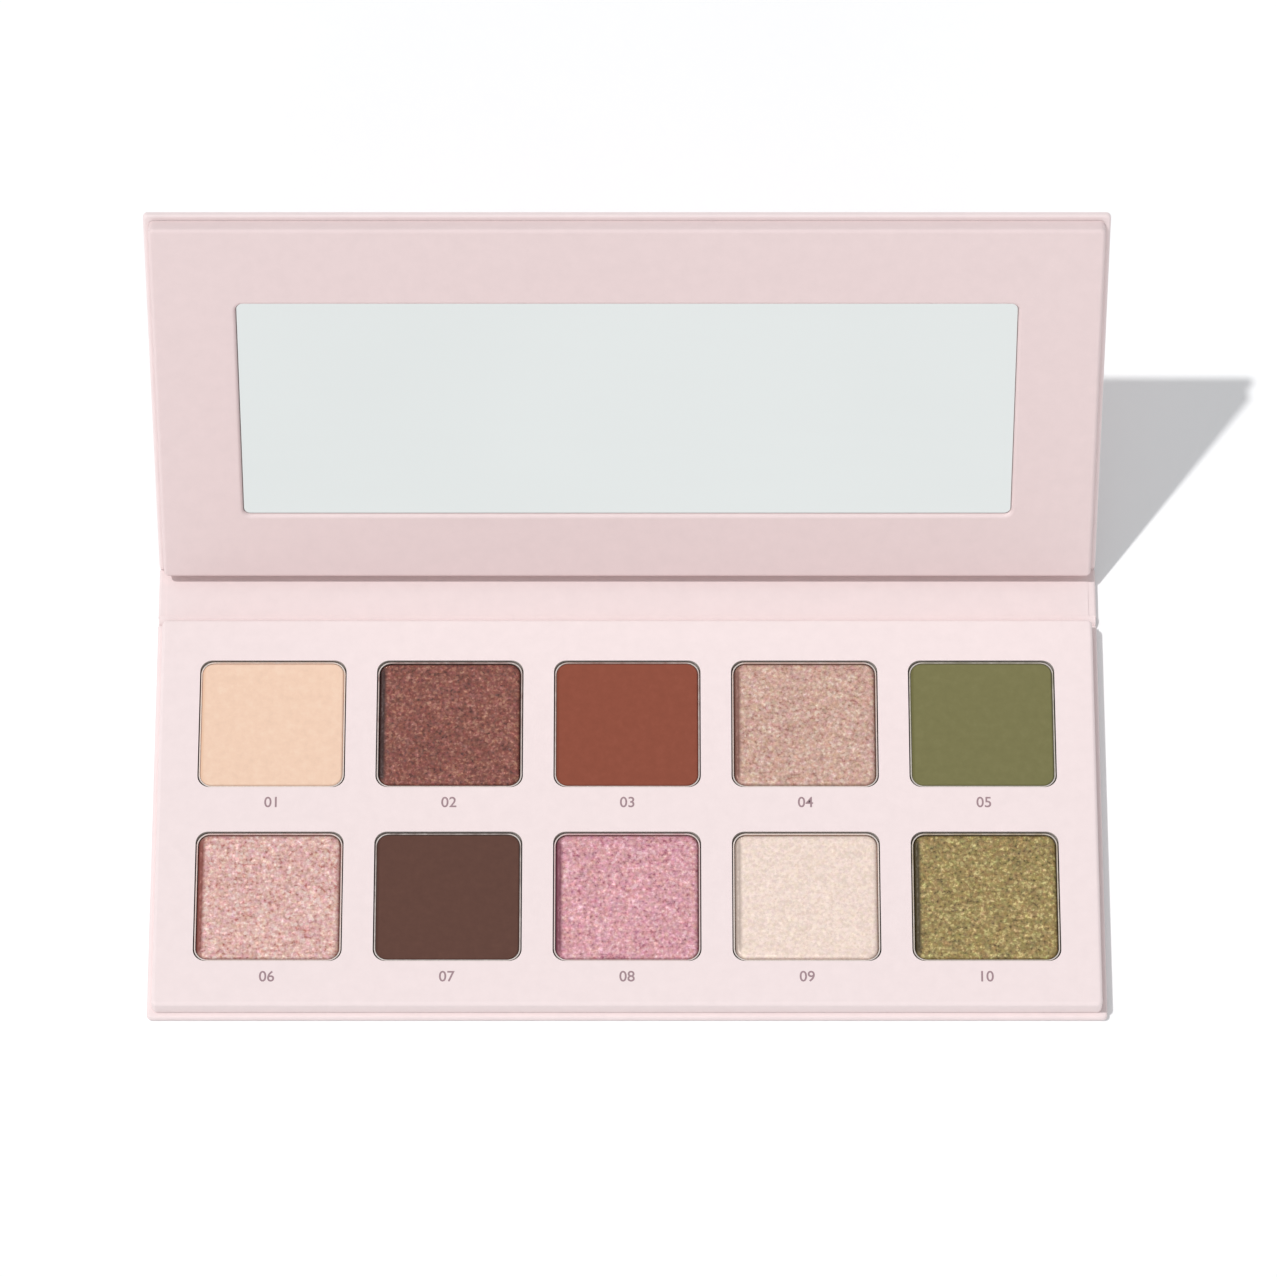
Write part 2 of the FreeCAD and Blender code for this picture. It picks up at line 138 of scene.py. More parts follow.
class PaletteLooks(bpy.types.PropertyGroup):
    """Sizes and colours of the palette's surfaces"""
    shades: CollectionProperty(
        name="Shades", description="Looks of the powders, from back left to front right", type=PaletteShade)
    tray_colour: FloatVectorProperty(
        name="Tray Paper", description="Printed paper on the tray", subtype="COLOR", size=3, min=0, max=1,
        default=linear("#ECDBDA"))
    # A darker copy of the case paper: painted shade on the lid's frame, which stands tilted away from the
    # light.
    frame_colour_shaded: FloatVectorProperty(
        name="Frame Paper", description="Printed paper on the mirror frame", subtype="COLOR", size=3, min=0,
        max=1, default=linear("#E5D0CF"))
    case_colour: FloatVectorProperty(
        name="Case Paper", description="Printed paper round the case", subtype="COLOR", size=3, min=0, max=1,
        default=linear("#ECDBDA"))
    board_colour: FloatVectorProperty(
        name="Board", description="Raw grey board at its cut edges", subtype="COLOR", size=3, min=0, max=1,
        default=linear("#D0C9C2"))
    ink_colour: FloatVectorProperty(
        name="Ink", description="Printed numbers on the tray", subtype="COLOR", size=3, min=0, max=1,
        default=linear("#9C8186"))
    mirror_tint: FloatVectorProperty(
        name="Mirror Tint", description="Colour that the silvered glass gives to what it reflects",
        subtype="COLOR", size=3, min=0, max=1, default=linear("#E1E4E2"))
    cake_corner: FloatProperty(
        name="Cake Corner", description="Corner radius of a pressed powder", subtype="DISTANCE",
        unit="LENGTH", default=1.97 * MM, min=0.2 * MM)
    matte_edge: FloatProperty(
        name="Matte Edge", description="Radius of a matte powder's upper edge", subtype="DISTANCE",
        unit="LENGTH", default=0.3 * MM, min=0.05 * MM)
    shimmer_edge: FloatProperty(
        name="Shimmer Edge", description="Radius of a shimmering powder's softer upper edge",
        subtype="DISTANCE", unit="LENGTH", default=0.7 * MM, min=0.05 * MM)
    cake_grid: FloatProperty(
        name="Cake Grid", description="Spacing of the points that carry a powder's relief",
        subtype="DISTANCE", unit="LENGTH", default=0.2 * MM, min=0.1 * MM)
    fold_width: FloatProperty(
        name="Fold Width", description="Width of the cover paper that bends at a crease", subtype="DISTANCE",
        unit="LENGTH", default=0.04 * MM, min=0.01 * MM)
    lining_back: FloatProperty(
        name="Lining Thickness", description="Thickness of the lining that crosses a crease",
        subtype="DISTANCE", unit="LENGTH", default=0.08 * MM, min=0.01 * MM)
    number_height: FloatProperty(
        name="Number Height", description="Height of the printed numbers", subtype="DISTANCE", unit="LENGTH",
        default=1.9 * MM, min=0.5 * MM)
    number_drop: FloatProperty(
        name="Number Drop", description="From a pan's front edge to the middle of its number",
        subtype="DISTANCE", unit="LENGTH", default=2.8 * MM, min=0)


class PaletteStudio(bpy.types.PropertyGroup):
    """Camera and light of the stage"""
    camera_elevation: FloatProperty(
        name="Camera Elevation", description="Angle of the camera above the floor", subtype="ANGLE",
        unit="ROTATION", default=math.radians(66))
    camera_distance: FloatProperty(
        name="Camera Distance", description="From the camera to the point it looks at", subtype="DISTANCE",
        unit="LENGTH", default=1214.9 * MM)
    camera_target: FloatVectorProperty(
        name="Camera Target", description="Point on the floor that the camera looks at", subtype="XYZ",
        unit="LENGTH", size=3, default=(1.89 * MM, 32.95 * MM, 0))
    camera_lens: FloatProperty(
        name="Lens", description="Focal length on a 36 mm sensor", subtype="DISTANCE_CAMERA", default=202.7)
    key_strength: FloatProperty(
        name="Key", description="Strength of the light from the left", default=1.8, min=0)
    key_direction: FloatVectorProperty(
        name="Key Direction", description="Where the light from the left shines to", subtype="DIRECTION",
        size=3, default=(28.4, 0.5, -63.1))
    key_spread: FloatProperty(
        name="Key Spread", description="Angle of the key light, which softens its shadows", subtype="ANGLE",
        unit="ROTATION", default=math.radians(1.6))
    front_strength: FloatProperty(
        name="Front", description="Strength of the broad low light from the front", default=0.6, min=0)
    front_direction: FloatVectorProperty(
        name="Front Direction", description="Where the light from the front shines to", subtype="DIRECTION",
        size=3, default=(0, 94, -23))
    front_spread: FloatProperty(
        name="Front Spread", description="Angle of the light from the front", subtype="ANGLE",
        unit="ROTATION", default=math.radians(50))
    fill_strength: FloatProperty(
        name="Fill", description="Strength of the light from all round", default=0.53, min=0)
    fill_colour: FloatVectorProperty(
        name="Fill Colour", description="Colour of the light from all round", subtype="COLOR", size=3, min=0,
        max=1, default=linear("#F9FCFF"))
    floor_colour: FloatVectorProperty(
        name="Floor", description="Plain floor", subtype="COLOR", size=3, min=0, max=1,
        default=linear("#FAFAFA"))


# Materials

def node(tree, kind, inputs=None, **settings):
    """Adds a shader node, sets its options, and fills its sockets with numbers, colours or links."""
    made = tree.nodes.new("ShaderNode" + kind)
    for option, value in settings.items():
        setattr(made, option, value)
    for socket, value in (inputs or {}).items():
        if isinstance(value, bpy.types.NodeSocket):
            tree.links.new(value, made.inputs[socket])
        else:
            made.inputs[socket].default_value = value
    return made


def new_material(name, constants):
    """A material with its constant sockets set, and its node tree, shader and object coordinates."""
    material = bpy.data.materials.new(name)
    material.use_nodes = True
    tree = material.node_tree
    shader = tree.nodes["Principled BSDF"]
    for socket, value in constants.items():
        shader.inputs[socket].default_value = value
    place = node(tree, "TexCoord").outputs["Object"]
    return material, tree, shader, place


def ramp(tree, value, stops):
    """The colour that a value picks from a ramp, whose stops are each a position and a colour."""
    made = node(tree, "ValToRGB", {"Fac": value})
    elements = made.color_ramp.elements
    while len(elements) < len(stops):
        elements.new(0.5)
    for element, (position, colour) in zip(elements, stops):
        element.position = position
        element.color = (*colour[:3], 1.0)
    return made.outputs["Color"]


def mix(tree, factor, first, second, **settings):
    """The colour that a factor picks between two colours."""
    made = node(
        tree, "Mix", {MIX_FACTOR: factor, MIX_A: first, MIX_B: second}, data_type="RGBA", **settings)
    return made.outputs[MIX_RESULT]


def vary(tree, socket, value, start, end):
    """Moves a shader's socket from one number to another while a value goes from 0 to 1."""
    moved = node(tree, "MapRange", {"Value": value, "To Min": start, "To Max": end})
    tree.links.new(moved.outputs["Result"], socket)


def emboss(tree, shader, height, strength, distance):
    """Bumps a shader's surface by a height."""
    bump = node(tree, "Bump", {"Height": height, "Strength": strength, "Distance": distance})
    tree.links.new(bump.outputs["Normal"], shader.inputs["Normal"])


def matt_laminated_paper(name, colour):
    """Art paper, offset printed and laminated with a matt film."""
    # The film gives an even, silky tone with faint fibre clouds under it. Rounded and folded edges are
    # paler: partly rubbed wear, partly a painted highlight.
    material, tree, shader, place = new_material(
        name, {"IOR": 1.5, "Specular IOR Level": 0.35, "Sheen Weight": 0.05})
    clouds = node(tree, "TexNoise", {"Vector": place, "Scale": per(2.5), "Detail": 5.0, "Roughness": 0.65})
    tone = ramp(tree, clouds.outputs["Fac"], ((0.3, shaded(colour, 0.975)), (0.7, shaded(colour, 1.015))))
    rounded = node(tree, "Bevel", {"Radius": 0.35 * MM}, samples=4)
    flat = node(tree, "NewGeometry")
    likeness = node(
        tree, "VectorMath", {0: rounded.outputs["Normal"], 1: flat.outputs["Normal"]},
        operation="DOT_PRODUCT")
    rubbed_and_highlit = node(
        tree, "MapRange",
        {"Value": likeness.outputs["Value"], "From Min": 0.98, "From Max": 0.75, "To Min": 0.0,
         "To Max": 0.45})
    # Paler rounded edges: rubbed wear with a painted highlight.
    worn_and_highlit = mix(tree, rubbed_and_highlit.outputs["Result"], tone, shaded(colour, 1.1))
    tree.links.new(worn_and_highlit, shader.inputs["Base Color"])
    # Real fibres are some 0.03 mm wide, too fine to show, so the film's grain is drawn 0.3 mm wide.
    grain = node(tree, "TexNoise", {"Vector": place, "Scale": per(0.3), "Detail": 3.0, "Roughness": 0.6})
    vary(tree, shader.inputs["Roughness"], grain.outputs["Fac"], 0.44, 0.58)
    emboss(tree, shader, grain.outputs["Fac"], strength=0.10, distance=0.02 * MM)
    return material


def raw_grey_board(name, colour):
    """Grey board pressed from waste paper, die-cut and left raw."""
    # Pulp of many papers gives a dull grey with paler fibres and dark specks, and layers along its cut edge.
    material, tree, shader, place = new_material(
        name, {"IOR": 1.45, "Specular IOR Level": 0.2, "Roughness": 0.95})
    layered = node(tree, "Mapping", {"Vector": place, "Scale": (1.0, 1.0, 4.0)})
    fibres = node(
        tree, "TexNoise",
        {"Vector": layered.outputs["Vector"], "Scale": per(0.6), "Detail": 6.0, "Roughness": 0.7})
    tone = ramp(tree, fibres.outputs["Fac"], (
        (0.25, shaded(colour, 0.55)), (0.36, shaded(colour, 0.9)), (0.55, shaded(colour, 1.0)),
        (0.75, shaded(colour, 1.25))))
    tree.links.new(tone, shader.inputs["Base Color"])
    emboss(tree, shader, fibres.outputs["Fac"], strength=0.4, distance=0.05 * MM)
    return material


def rim_dust_and_shade(tree, place, low, high):
    """How much powder colour a pan's rim takes: drifts of real powder, with painted shade growing towards
    its back, and least at its corners.
    """
    drift = node(tree, "TexNoise", {"Vector": place, "Scale": per(1.5), "Detail": 4.0})
    cover = node(
        tree, "MapRange",
        {"Value": drift.outputs["Fac"], "From Min": 0.3, "From Max": 0.7, "To Min": 0.35, "To Max": 0.75})
    half = (high - low) / 2
    centred = node(tree, "VectorMath", {0: place, 1: low + half}, operation="SUBTRACT").outputs["Vector"]
    spread = node(tree, "VectorMath", {0: centred}, operation="ABSOLUTE")
    beside = node(tree, "SeparateXYZ", {"Vector": spread.outputs["Vector"]})
    across, along = (
        node(
            tree, "MapRange",
            {"Value": beside.outputs[axis], "From Min": end - 2.6 * MM, "From Max": end - 1.0 * MM})
        for axis, end in (("X", half.x), ("Y", half.y)))
    # The powder colour fades out towards the corners.
    corner = node(
        tree, "Math", {0: across.outputs["Result"], 1: along.outputs["Result"]}, operation="MULTIPLY")
    corner_fade = node(tree, "MapRange", {"Value": corner.outputs["Value"], "To Min": 1.0, "To Max": 0.2})
    depth = node(tree, "SeparateXYZ", {"Vector": centred})
    # Painted shade: more powder colour towards the pan's back, where the rim lies in shade.
    painted_back_shade = node(
        tree, "MapRange",
        {"Value": depth.outputs["Y"], "From Min": -half.y, "From Max": half.y, "To Min": 0.4, "To Max": 1.0})
    fade_and_back_shade = node(
        tree, "Math", {0: corner_fade.outputs["Result"], 1: painted_back_shade.outputs["Result"]}, operation="MULTIPLY")
    dust_and_shade = node(tree, "Math", {0: cover.outputs["Result"], 1: fade_and_back_shade.outputs["Value"]}, operation="MULTIPLY")
    return dust_and_shade.outputs["Value"]


def drawn_tinplate(name, powder_colour, low, high):
    """Matt tinned steel sheet, deep drawn to a shallow pan that the press has dusted with its powder, with
    painted shade towards its back.
    """
    # Tin gives a soft grey shine, scuffed in fine lines by the die. Dry powder dulls it, and painted shade
    # darkens it towards the pan's back.
    material, tree, shader, place = new_material(name, {})
    drawn = node(tree, "Mapping", {"Vector": place, "Scale": (1.0, 1.0, 0.12)})
    # Die lines are a few hundredths of a millimetre apart, so they are drawn at 0.25 mm to show.
    lines = node(tree, "TexNoise", {"Vector": drawn.outputs["Vector"], "Scale": per(0.25), "Detail": 3.0})
    tone = ramp(tree, lines.outputs["Fac"], ((0.3, linear("#D2C8C2")), (0.7, linear("#E8DFD9"))))
    dust_and_shade = rim_dust_and_shade(tree, place, low, high)
    dusted_and_shaded = mix(tree, dust_and_shade, tone, shaded(powder_colour, 1.0))
    tree.links.new(dusted_and_shaded, shader.inputs["Base Color"])
    vary(tree, shader.inputs["Metallic"], dust_and_shade, 1.0, 0.0)
    vary(tree, shader.inputs["Roughness"], dust_and_shade, 0.4, 0.9)
    emboss(tree, shader, lines.outputs["Fac"], strength=0.15, distance=0.02 * MM)
    return material


def silvered_glass(name, tint):
    """Float glass, silvered on its back and cut with a fine ground seam."""
    # It gives a clear reflection with the faint green-grey of the glass, and barely any haze.
    material, tree, shader, place = new_material(name, {"Metallic": 1.0})
    # The silver's own unevenness is far below a millimetre, so a broad 60 mm drift of tone stands for it.
    drift = node(tree, "TexNoise", {"Vector": place, "Scale": per(60), "Detail": 2.0})
    tone = ramp(tree, drift.outputs["Fac"], ((0.3, shaded(tint, 0.985)), (0.7, shaded(tint, 1.01))))
    tree.links.new(tone, shader.inputs["Base Color"])
    vary(tree, shader.inputs["Roughness"], drift.outputs["Fac"], 0.012, 0.035)
    return material


def pressed_matte_powder(name, shade):
    """Talc and pigment, milled fine and pressed under a cloth."""
    # It gives a dry, velvety tone with almost no shine, a little mottled where the press packed it.
    material, tree, shader, place = new_material(
        name, {"IOR": 1.5, "Specular IOR Level": 0.18, "Roughness": 0.92, "Sheen Weight": 0.04,
               "Sheen Roughness": 0.5})
    packed = node(tree, "TexNoise", {"Vector": place, "Scale": per(1.6), "Detail": 5.0, "Roughness": 0.7})
    tone = ramp(tree, packed.outputs["Fac"], (
        (0.25, shaded(shade.body, 0.93)), (0.5, shaded(shade.body, 1.0)), (0.8, shaded(shade.flake, 1.0))))
    # The edge attribute paints shade in the deep colour near the cake's outline, most at its left.
    edge = node(tree, "Attribute", attribute_name="edge")
    whole = mix(tree, edge.outputs["Fac"], tone, shaded(shade.deep, 1.0))
    tree.links.new(whole, shader.inputs["Base Color"])
    # Milled pigment is under 0.02 mm, so its grain is drawn 0.18 mm wide to show.
    grain = node(tree, "TexNoise", {"Vector": place, "Scale": per(0.18), "Detail": 2.0})
    emboss(tree, shader, grain.outputs["Fac"], strength=0.2, distance=0.02 * MM)
    return material


def pressed_shimmer_powder(name, shade):
    """Coated mica flakes in a soft binder, pressed under a cloth."""
    # Flakes of several coatings lie at slight tilts in faint streaks, so the cake looks like wet sand.
    material, tree, shader, place = new_material(
        name, {"IOR": 1.6, "Metallic": 0.3, "Specular IOR Level": 0.5})
    streaked = node(tree, "Mapping", {"Vector": place, "Scale": (0.35, 1.0, 1.0)})
    streaks = node(
        tree, "TexNoise",
        {"Vector": streaked.outputs["Vector"], "Scale": per(1.1), "Detail": 5.0, "Roughness": 0.65})
    # Mica flakes are under 0.1 mm across, so their clumps are drawn half a millimetre wide to show.
    clumps = node(tree, "TexNoise", {"Vector": place, "Scale": per(0.55), "Detail": 3.0, "Roughness": 0.65})
    lie = node(
        tree, "Math", {0: streaks.outputs["Fac"], 1: 0.4, 2: clumps.outputs["Fac"]},
        operation="MULTIPLY_ADD")
    tone = ramp(tree, lie.outputs["Value"], (
        (0.48, shaded(shade.deep, 1.0)), (0.65, shaded(shade.body, 0.94)), (0.75, shaded(shade.body, 1.06)),
        (0.92, shaded(shade.flake, 1.0))))
    coatings = node(
        tree, "TexNoise", {"Vector": place, "Scale": per(0.75), "Detail": 2.0, "Roughness": 0.5})
    tinted = mix(tree, 0.28 * shade.shimmer, tone, coatings.outputs["Color"], blend_type="OVERLAY")
    flakes = node(tree, "TexVoronoi", {"Vector": place, "Scale": per(0.46)}, feature="F1")
    chance = node(tree, "SeparateColor", {"Color": flakes.outputs["Color"]})
    bright = node(
        tree, "MapRange",
        {"Value": chance.outputs["Red"], "From Min": 0.9, "From Max": 1.0, "To Min": 0.0, "To Max": 0.75})
    flecked = mix(tree, bright.outputs["Result"], tinted, shaded(shade.flake, 1.0))
    # The edge attribute paints shade near the cake's outline, in the deep colour darkened further, most at
    # its left.
    edge = node(tree, "Attribute", attribute_name="edge")
    whole = mix(tree, edge.outputs["Fac"], flecked, shaded(shade.deep, 0.64))
    tree.links.new(whole, shader.inputs["Base Color"])
    vary(tree, shader.inputs["Roughness"], chance.outputs["Green"], 0.42, 0.65)
    lean = node(tree, "VectorMath", {0: flakes.outputs["Color"], 1: (0.5, 0.5, 0.5)}, operation="SUBTRACT")
    upright = node(tree, "NewGeometry").outputs["Normal"]
    steepest = 0.22 * shade.shimmer
    tilt = node(
        tree, "VectorMath", {0: lean.outputs["Vector"], 1: (steepest, steepest, 0.0), 2: upright},
        operation="MULTIPLY_ADD")
    facing = node(tree, "VectorMath", {0: tilt.outputs["Vector"]}, operation="NORMALIZE")
    tree.links.new(facing.outputs["Vector"], shader.inputs["Normal"])
    return material


def offset_ink(name, colour):
    """Printing ink, laid on the paper under the matt film."""
    # A thin film of pigment shows the paper's tooth through it, so its tone is never quite even.
    material, tree, shader, place = new_material(
        name, {"IOR": 1.5, "Specular IOR Level": 0.35, "Roughness": 0.5})
    tooth = node(tree, "TexNoise", {"Vector": place, "Scale": per(0.3), "Detail": 3.0})
    tone = ramp(tree, tooth.outputs["Fac"], ((0.3, shaded(colour, 0.92)), (0.7, shaded(colour, 1.1))))
    tree.links.new(tone, shader.inputs["Base Color"])
    return material


def nickel_plate(name):
    """Sintered magnet, barrel plated with nickel."""
    # Barrel plating gives a grey mirror with a soft orange-peel ripple.
    material, tree, shader, place = new_material(name, {"Metallic": 1.0})
    ripple = node(tree, "TexNoise", {"Vector": place, "Scale": per(0.5), "Detail": 2.0})
    tone = ramp(tree, ripple.outputs["Fac"], ((0.3, linear("#B9B7B1")), (0.7, linear("#CFCDC8"))))
    tree.links.new(tone, shader.inputs["Base Color"])
    vary(tree, shader.inputs["Roughness"], ripple.outputs["Fac"], 0.15, 0.28)
    emboss(tree, shader, ripple.outputs["Fac"], strength=0.1, distance=0.02 * MM)
    return material


def hot_melt_glue(name):
    """Hot-melt glue, pressed flat under a pan while it set."""
    # It gives a waxy, cloudy cream with a soft shine.
    material, tree, shader, place = new_material(
        name, {"IOR": 1.48, "Roughness": 0.4, "Subsurface Weight": 0.3, "Subsurface Scale": 0.5 * MM})
    cloud = node(tree, "TexNoise", {"Vector": place, "Scale": per(3), "Detail": 3.0})
    tone = ramp(tree, cloud.outputs["Fac"], ((0.3, linear("#D8D1BC")), (0.7, linear("#E9E4D3"))))
    tree.links.new(tone, shader.inputs["Base Color"])
    return material


def foam_tape(name):
    """Closed-cell polyethylene foam tape with glue on both faces."""
    # Small round cells give a matt white with a pimpled skin.
    material, tree, shader, place = new_material(name, {"IOR": 1.5, "Roughness": 0.75})
    cells = node(tree, "TexVoronoi", {"Vector": place, "Scale": per(0.4)}, feature="F1")
    tone = ramp(tree, cells.outputs["Distance"], ((0.2, linear("#F0F0EC")), (0.8, linear("#D9D9D3"))))
    tree.links.new(tone, shader.inputs["Base Color"])
    emboss(tree, shader, cells.outputs["Distance"], strength=0.3, distance=0.05 * MM)
    return material


def studio_floor(name, colour):
    """Seamless background paper, rolled out smooth."""
    # It gives an even, shadow-taking white with no shine.
    material, tree, shader, place = new_material(name, {"Roughness": 0.95, "Specular IOR Level": 0.1})
    pulp = node(tree, "TexNoise", {"Vector": place, "Scale": per(40), "Detail": 2.0})
    tone = ramp(tree, pulp.outputs["Fac"], ((0.3, shaded(colour, 0.995)), (0.7, shaded(colour, 1.0))))
    tree.links.new(tone, shader.inputs["Base Color"])
    return material


# Shared helpers

def dress(material, *names):
    """Gives carried-over CAD nodes a material in every slot."""
    for name in names:
        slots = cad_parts[name].data.materials
        for place in range(len(slots)):
            slots[place] = material


def new_verts(geometry):
    """The points among what an extrusion made."""
    return [item for item in geometry if isinstance(item, bmesh.types.BMVert)]


def new_piece(name, bm, material):
    """Turns a finished bmesh to a piece with its material."""
    mesh = bpy.data.meshes.new(name)
    bm.to_mesh(mesh)
    bm.free()
    mesh.materials.append(material)
    piece = bpy.data.objects.new(name, mesh)
    bpy.context.scene.collection.objects.link(piece)
    return piece


# Shape of a pressed powder

def round_a_corner(point, half, radius):
    """Moves a point of the cake's square corner inwards, so that the corner follows its radius."""
    across = (abs(point.x) - (half.x - radius)) / radius
    along = (abs(point.y) - (half.y - radius)) / radius
    if across > 0 and along > 0:
        point.x = math.copysign(half.x - radius + radius * across * math.sqrt(1 - along ** 2 / 2), point.x)
        point.y = math.copysign(half.y - radius + radius * along * math.sqrt(1 - across ** 2 / 2), point.y)


def depth_inside(point, half, radius):
    """How far a point lies inside the cake's rounded outline."""
    across = abs(point.x) - (half.x - radius)
    along = abs(point.y) - (half.y - radius)
    beyond = math.hypot(max(across, 0), max(along, 0)) + min(max(across, along), 0)
    return max(radius - beyond, 0)


def painted_edge_shade(point, half, radius, depth, edge_radius):
    """How much painted shade darkens a cake near its outline: most at its left, where the window's wall
    casts a shadow, less at its right and back.
    """
    across = max(abs(point.x) - (half.x - radius), 0)
    along = max(abs(point.y) - (half.y - radius), 0)
    sideways = (across / max(math.hypot(across, along), SMALL)) ** 2
    left = sideways if point.x < 0 else 0
    right = sideways - left
    back = 1 - sideways if point.y > 0 else 0
    reach = edge_radius * (EDGE_REACH + EDGE_REACH_LEFT * left)
    near = min(max(EDGE_STEEPNESS * (1 - depth / reach), 0), 1)
    return (left + EDGE_RIGHT * right + EDGE_BACK * back) * near


def edge_drop(depth, radius):
    """How far the soft upper edge has fallen at this depth inside the outline."""
    if depth >= radius:
        return 0.0
    return radius - math.sqrt(radius ** 2 - (radius - depth) ** 2)


def shimmer_relief(x, y, seed):
    """Height of the flaky surface, in millimetres, drawn out a little along the width."""
    broad = noise.noise(Vector((x / 0.65, y / 0.5, seed)))
    fine = noise.noise(Vector((x / 0.28, y / 0.25, seed + 5)))
    return 0.014 * broad + 0.008 * fine


def matte_relief(x, y, seed):
    """Height of the cloth-pressed surface, in millimetres."""
    broad = noise.noise(Vector((x / 5, y / 5, seed)))
    fine = noise.noise(Vector((x / 0.5, y / 0.5, seed + 5)))
    return 0.010 * broad + 0.004 * fine


def pressed_cake(low, high, looks, edge_radius, relief, seed):
    """A pressed powder: a fine grid with rounded corners, a soft edge and relief, closed below."""
    size = high - low
    half = size / 2
    bm = bmesh.new()
    bmesh.ops.create_grid(
        bm, x_segments=round(size.x / looks.cake_grid), y_segments=round(size.y / looks.cake_grid), size=0.5)
    bmesh.ops.scale(bm, vec=(size.x, size.y, 1), verts=bm.verts)
    # The edge layer holds painted shade, darkest near the outline at the cake's left.
    edge = bm.verts.layers.float.new("edge")
    for vert in bm.verts:
        round_a_corner(vert.co, half, looks.cake_corner)
        depth = depth_inside(vert.co, half, looks.cake_corner)
        nearness = max(1 - depth / (RELIEF_MARGIN * edge_radius), 0)
        height = relief(vert.co.x / MM, vert.co.y / MM, seed) * MM
        vert.co.z = height * (1 - nearness) - edge_drop(depth, edge_radius)
        vert[edge] = painted_edge_shade(vert.co, half, looks.cake_corner, depth, edge_radius)
    rim = [side for side in bm.edges if side.is_boundary]
    wall = bmesh.ops.extrude_edge_only(bm, edges=rim)["geom"]
    for vert in new_verts(wall):
        vert.co.z = -size.z
    bmesh.ops.holes_fill(bm, edges=[side for side in bm.edges if side.is_boundary], sides=0)
    bmesh.ops.recalc_face_normals(bm, faces=bm.faces)
    for face in bm.faces:
        face.smooth = True
    bmesh.ops.translate(bm, vec=((low.x + high.x) / 2, (low.y + high.y) / 2, high.z), verts=bm.verts)
    return bm


# Shape of a crease

def crease_fold(length, width, thickness, axis, angle):
    """The strip of cover paper at a crease: flat, then bent round the hinge's axis as it is at rest."""
    bm = bmesh.new()
    bmesh.ops.create_grid(bm, x_segments=1, y_segments=FOLD_STEPS, size=0.5)
    bmesh.ops.scale(bm, vec=(length, width, 1), verts=bm.verts)
    bmesh.ops.translate(bm, vec=(0, 0, -thickness), verts=bm.verts)
    sheet = bmesh.ops.extrude_face_region(bm, geom=bm.faces[:], use_keep_orig=True)["geom"]
    bmesh.ops.translate(bm, vec=(0, 0, thickness), verts=new_verts(sheet))
    for vert in bm.verts:
        turned = Matrix.Rotation(angle * (vert.co.y / width + 0.5), 3, "X")
        vert.co = turned @ vert.co
    bmesh.ops.recalc_face_normals(bm, faces=bm.faces)
    bmesh.ops.translate(bm, vec=axis, verts=bm.verts)
    return bm


def crease_lining(length, line, back):
    """The strip of lining across a crease: its face runs along a line of points, its back lies behind."""
    bm = bmesh.new()
    points = [bm.verts.new(point + Vector((-length / 2, 0, 0))) for point in line]
    edges = [bm.edges.new(pair) for pair in zip(points, points[1:])]
    face = bmesh.ops.extrude_edge_only(bm, edges=edges)["geom"]
    bmesh.ops.translate(bm, vec=(length, 0, 0), verts=new_verts(face))
    sheet = bmesh.ops.extrude_face_region(bm, geom=bm.faces[:], use_keep_orig=True)["geom"]
    bmesh.ops.translate(bm, vec=back, verts=new_verts(sheet))
    bmesh.ops.recalc_face_normals(bm, faces=bm.faces)
    return bm


# The axes of the creases, the length and thickness of the paper in them, the height of the lined panels, and
# how far from a crease their lined edges lie: the spine's, and the base's, which is also the lid's.
Creases = namedtuple("Creases", "base_axis lid_axis length thickness top spine_edge panel_edge")


def find_the_creases(half):
    """The two creases, each half a fold's width from the spine's paper."""
    near, far = (Vector(corner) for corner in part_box("spine_cover_paper"))
    low, high = (Vector(corner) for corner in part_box("spine_lining"))
    thickness = low.z - near.z
    base_axis = Vector((0, near.y - half, low.z))
    return Creases(
        base_axis=base_axis,
        lid_axis=Vector((0, far.y + half, low.z)),
        length=far.x - near.x - CREASE_ENDS,
        thickness=thickness,
        top=high.z - low.z,
        spine_edge=low.y - base_axis.y,
        panel_edge=base_axis.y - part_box("base_board")[1][1] - thickness)


def fold_the_cover(looks, paper, creases):
    """The two strips of cover paper, bent at the creases."""
    base_axis, lid_axis, length, thickness = creases[:4]
    bm = crease_fold(length, looks.fold_width, thickness, base_axis, 0.0)
    piece = new_piece("cover_fold_base", bm, paper)
    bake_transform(piece)
    bm = crease_fold(length, looks.fold_width, thickness, lid_axis, LID_BEND)
    piece = new_piece("cover_fold_lid", bm, paper)
    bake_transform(piece)


def fold_the_lining(looks, paper, creases):
    """The two strips of lining, from the spine's edge to the panel's edge beside each crease."""
    base_axis, lid_axis, length, _, top, spine_edge, panel_edge = creases
    steps = [step / LINING_STEPS for step in range(LINING_STEPS + 1)]
    # At the base it sags, and is blended a quarter beyond its ends, so that it folds into the crease.
    span = panel_edge + spine_edge
    line = [
        base_axis + Vector((0, span * step - panel_edge, top * (1 - LINING_SAG * (1 - step) ** 2)))
        for step in steps]
    bm = crease_lining(length, line, Vector((0, 0, -looks.lining_back)))
    piece = new_piece("lining_fold_base", bm, paper)
    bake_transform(piece)
    # At the lid it spans the gap that the bend leaves.
    first = lid_axis + Vector((0, -spine_edge, top))
    last = lid_axis + Matrix.Rotation(LID_BEND, 3, "X") @ Vector((0, panel_edge, top))
    line = [first.lerp(last, step) + Vector((0, LINING_BOW * step * (1 - step), 0)) for step in steps]
    bm = crease_lining(length, line, Vector((0, looks.lining_back, 0)))
    piece = new_piece("lining_fold_lid", bm, paper)
    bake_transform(piece)


# Printed numbers and studio

